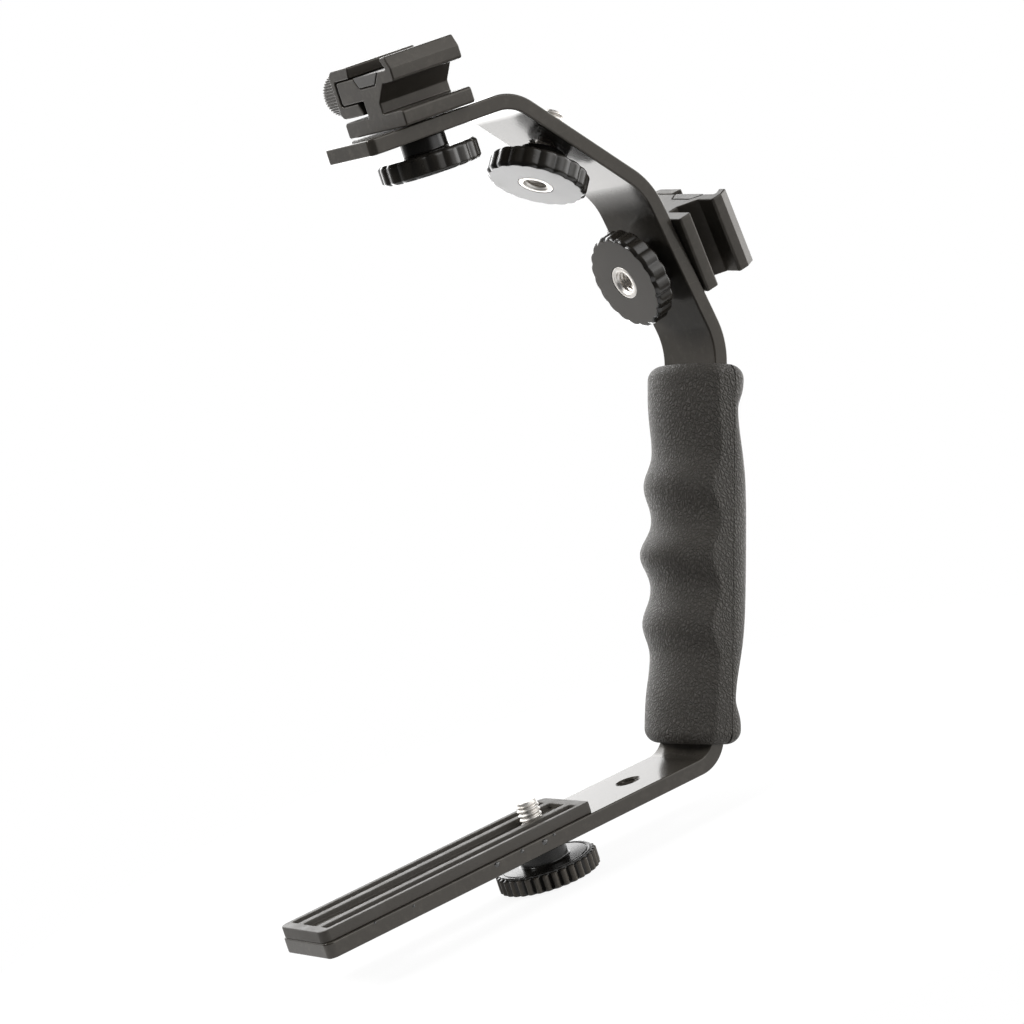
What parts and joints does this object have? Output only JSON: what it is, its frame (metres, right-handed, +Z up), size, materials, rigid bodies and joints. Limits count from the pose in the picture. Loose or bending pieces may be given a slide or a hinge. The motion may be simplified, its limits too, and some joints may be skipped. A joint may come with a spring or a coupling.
{
  "type": "l-bracket video grip",
  "caption": "Bent flat-bar camera bracket with a ribbed, slotted lower arm, a finger-grooved hand grip, a camera screw and two clamping accessory shoes.",
  "frame": {"origin": "middle of the hand grip, on the mid-plane of the bar", "axes": "+Z up as the bracket is held, +X along the lower arm towards the grip, +Y across the bar towards the lock screws"},
  "size_m": [0.1922, 0.0483, 0.2231],
  "materials": {
    "bar_coat": "satin dark grey coating on aluminium",
    "pad_rubber": "matt moulded black",
    "grip_rubber": "leather-grained black",
    "knob_plastic": "glossy black with a satin face",
    "plated_steel": "bright plated",
    "shoe_metal": "satin dark grey coating",
    "insert_metal": "satin grey",
    "washer_plastic": "matt black"
  },
  "bodies": {
    "bracket": {"bracket_bar": "bar_coat", "camera_pad": "pad_rubber", "grip_finger_half": "grip_rubber", "grip_palm_half": "grip_rubber"},
    "camera_carriage": {"camera_washer": "washer_plastic"},
    "camera_screw_knob": {"camera_screw": "plated_steel", "camera_knob": "knob_plastic"},
    "side_hand_knob": {"side_knob": "knob_plastic", "side_knob_stud": "plated_steel"},
    "spare_hand_knob": {"spare_knob": "knob_plastic", "spare_knob_stud": "plated_steel"},
    "top_hand_knob": {"top_knob": "knob_plastic", "top_knob_stud": "plated_steel"},
    "side_shoe": {"side_shoe_body": "shoe_metal", "side_shoe_floor_insert": "insert_metal"},
    "side_jaw": {"side_shoe_jaw": "shoe_metal"},
    "side_lock": {"side_shoe_lock_screw": "shoe_metal"},
    "top_shoe": {"top_shoe_body": "shoe_metal", "top_shoe_floor_insert": "insert_metal"},
    "top_jaw": {"top_shoe_jaw": "shoe_metal"},
    "top_lock": {"top_shoe_lock_screw": "shoe_metal"}
  },
  "joints": [
    {"name": "camera_slide", "type": "slide", "parent": "bracket", "child": "camera_carriage", "axis": [1, 0, 0], "range_m": [-0.0594, 0.0006]},
    {"name": "camera_knob_spin", "type": "hinge", "parent": "camera_carriage", "child": "camera_screw_knob", "pos_m": [-0.07592, 0, -0.055], "axis": [0, 0, 1], "continuous": true},
    {"name": "side_knob_spin", "type": "hinge", "parent": "bracket", "child": "side_hand_knob", "pos_m": [0.01755, 0.0007, 0.07994], "axis": [-0.986, 0, -0.1668], "continuous": true},
    {"name": "spare_knob_spin", "type": "hinge", "parent": "bracket", "child": "spare_hand_knob", "pos_m": [-0.00516, 0, 0.12213], "axis": [-0.6289, -0.0743, -0.7739], "continuous": true},
    {"name": "top_knob_spin", "type": "hinge", "parent": "bracket", "child": "top_hand_knob", "pos_m": [-0.04271, 0, 0.13698], "axis": [0, 0, -1], "continuous": true},
    {"name": "side_shoe_swivel", "type": "hinge", "parent": "bracket", "child": "side_shoe", "pos_m": [0.01967, 0.0007, 0.08029], "axis": [0.986, 0, 0.1668], "continuous": true},
    {"name": "side_jaw_slide", "type": "slide", "parent": "side_shoe", "child": "side_jaw", "axis": [-0.0189, 0.9936, 0.1116], "range_m": [-0.00035, 0.0014]},
    {"name": "side_lock_spin", "type": "hinge", "parent": "side_jaw", "child": "side_lock", "pos_m": [0.03122, 0.00057, 0.08336], "axis": [-0.0189, 0.9936, 0.1116], "range_deg": [-180, 720]},
    {"name": "top_shoe_swivel", "type": "hinge", "parent": "bracket", "child": "top_shoe", "pos_m": [-0.04271, 0, 0.13913], "axis": [0, 0, 1], "continuous": true},
    {"name": "top_jaw_slide", "type": "slide", "parent": "top_shoe", "child": "top_jaw", "axis": [0, 1, 0], "range_m": [-0.00035, 0.0014]},
    {"name": "top_lock_spin", "type": "hinge", "parent": "top_jaw", "child": "top_lock", "pos_m": [-0.04381, 0, 0.15103], "axis": [0, 1, 0], "range_deg": [-180, 720]}
  ],
  "couplings": [
    {"joint": "side_lock_spin", "follows": "side_jaw_slide", "rad_per_m": 8975.9},
    {"joint": "top_lock_spin", "follows": "top_jaw_slide", "rad_per_m": 8975.9}
  ]
}
